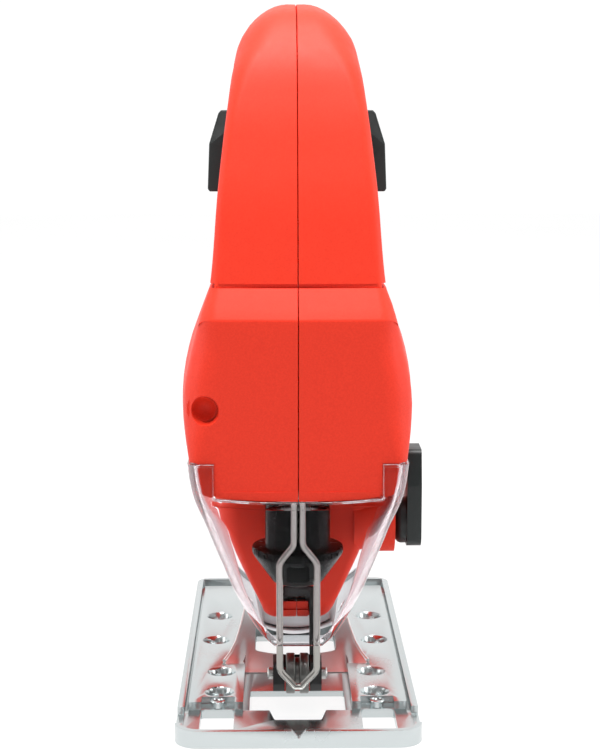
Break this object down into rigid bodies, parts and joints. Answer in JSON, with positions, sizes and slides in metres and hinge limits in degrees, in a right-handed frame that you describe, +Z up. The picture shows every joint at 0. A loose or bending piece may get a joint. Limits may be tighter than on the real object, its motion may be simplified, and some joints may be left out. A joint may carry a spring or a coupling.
{
  "type": "jigsaw power tool",
  "caption": "D-handle electric jigsaw with a two-part red plastic housing, clear chip shield, wire finger guard, orbital selector and tilting steel sole.",
  "frame": {"origin": "underside of the sole, on the centre plane, in the middle of the bar behind the blade opening", "axes": "-Y towards the tool's front, +X towards the tool's left side, +Z up, away from the work"},
  "size_m": [0.0722, 0.216, 0.2079],
  "materials": {
    "housing_red": "fine satin texture",
    "black_plastic": "satin",
    "clear_plastic": "clear moulded plastic",
    "plated_steel": "bright plated pressed steel",
    "dark_steel": "blackened",
    "steel": "machined",
    "cast_aluminium": "die cast",
    "copper": "copper, satin",
    "brass": "pressed brass",
    "bronze": "sintered bronze",
    "laminations": "stacked laminations",
    "carbon": "carbon, matte",
    "switch_plastic": "matte",
    "rubber": "matte",
    "felt": "felt"
  },
  "bodies": {
    "housing": {"left_housing": "housing_red", "right_housing": "housing_red", "housing_screw_1": "steel", "housing_screw_2": "steel", "housing_screw_3": "steel", "housing_screw_4": "steel", "housing_screw_5": "steel", "housing_screw_6": "steel", "gear_case": "cast_aluminium", "plunger_bush_lower": "bronze", "plunger_bush_upper": "bronze", "front_bearing": "steel", "gear_axle": "steel", "motor_stator": "laminations", "field_coil": "copper", "rear_bearing": "steel", "end_bracket": "black_plastic", "brush_holder_left": "brass", "brush_holder_right": "brass", "brush_left": "carbon", "brush_right": "carbon", "felt_seal": "felt", "fork_pin": "steel", "switch_module": "switch_plastic", "trigger_spring": "steel", "cord_gland": "rubber", "wire_guard": "plated_steel", "shoe_bracket": "cast_aluminium"},
    "rotor": {"rotor_shaft": "steel", "rotor_core": "laminations", "commutator": "copper", "cooling_fan": "black_plastic"},
    "crank_gear": {"drive_gear": "steel"},
    "plunger_set": {"plunger": "steel", "clamp_body": "steel", "clamp_cap": "dark_steel"},
    "collar": {"clamp_collar": "black_plastic"},
    "pendulum": {"pendulum_fork": "dark_steel", "roller_pin": "steel"},
    "roller": {"guide_roller": "steel"},
    "selector": {"orbital_lever": "black_plastic"},
    "trigger_body": {"trigger": "black_plastic"},
    "left_button": {"lock_button_left": "black_plastic"},
    "right_button": {"lock_button_right": "black_plastic"},
    "shield": {"chip_shield": "clear_plastic"},
    "sole": {"sole_plate": "plated_steel", "sole_saddle": "plated_steel", "fence_screw_left": "steel", "fence_screw_right": "steel"}
  },
  "joints": [
    {"name": "rotor_spin", "type": "hinge", "parent": "housing", "child": "rotor", "pos_m": [0, 0.04, 0.084], "axis": [0, 1, 0], "continuous": true},
    {"name": "gear_spin", "type": "hinge", "parent": "housing", "child": "crank_gear", "pos_m": [0, -0.0175, 0.1033], "axis": [0, 1, 0], "continuous": true},
    {"name": "plunger_stroke", "type": "slide", "parent": "housing", "child": "plunger_set", "axis": [0, 0, 1], "range_m": [-0.016, 0]},
    {"name": "clamp_twist", "type": "hinge", "parent": "plunger_set", "child": "collar", "pos_m": [0, -0.032, 0.05], "axis": [0, 0, 1], "range_deg": [0, 35], "stiffness_Nm_per_rad": 0.05, "springref_deg": -5.73},
    {"name": "pendulum_swing", "type": "hinge", "parent": "housing", "child": "pendulum", "pos_m": [0, -0.0104, 0.031], "axis": [1, 0, 0], "range_deg": [-3, 2]},
    {"name": "roller_spin", "type": "hinge", "parent": "pendulum", "child": "roller", "pos_m": [0, -0.024, 0.0105], "axis": [1, 0, 0], "continuous": true},
    {"name": "selector_turn", "type": "hinge", "parent": "housing", "child": "selector", "pos_m": [0.03, -0.01, 0.054], "axis": [1, 0, 0], "range_deg": [-90, 0]},
    {"name": "trigger_squeeze", "type": "hinge", "parent": "housing", "child": "trigger_body", "pos_m": [0, 0.018, 0.179], "axis": [1, 0, 0], "range_deg": [0, 9], "stiffness_Nm_per_rad": 0.4, "springref_deg": -5.73, "deforming": ["trigger_spring"]},
    {"name": "left_button_press", "type": "slide", "parent": "housing", "child": "left_button", "axis": [-1, 0, 0], "range_m": [0, 0.0025], "stiffness_N_per_m": 400, "springref_m": -0.001},
    {"name": "right_button_press", "type": "slide", "parent": "housing", "child": "right_button", "axis": [1, 0, 0], "range_m": [0, 0.0025], "stiffness_N_per_m": 400, "springref_m": -0.001},
    {"name": "shield_slide", "type": "slide", "parent": "housing", "child": "shield", "axis": [0, -1, 0], "range_m": [0, 0.04]},
    {"name": "sole_tilt", "type": "hinge", "parent": "housing", "child": "sole", "pos_m": [0, 0, 0.0254], "axis": [0, 1, 0], "range_deg": [-45, 45]}
  ],
  "couplings": [
    {"joint": "rotor_spin", "follows": "gear_spin", "ratio": -4}
  ]
}
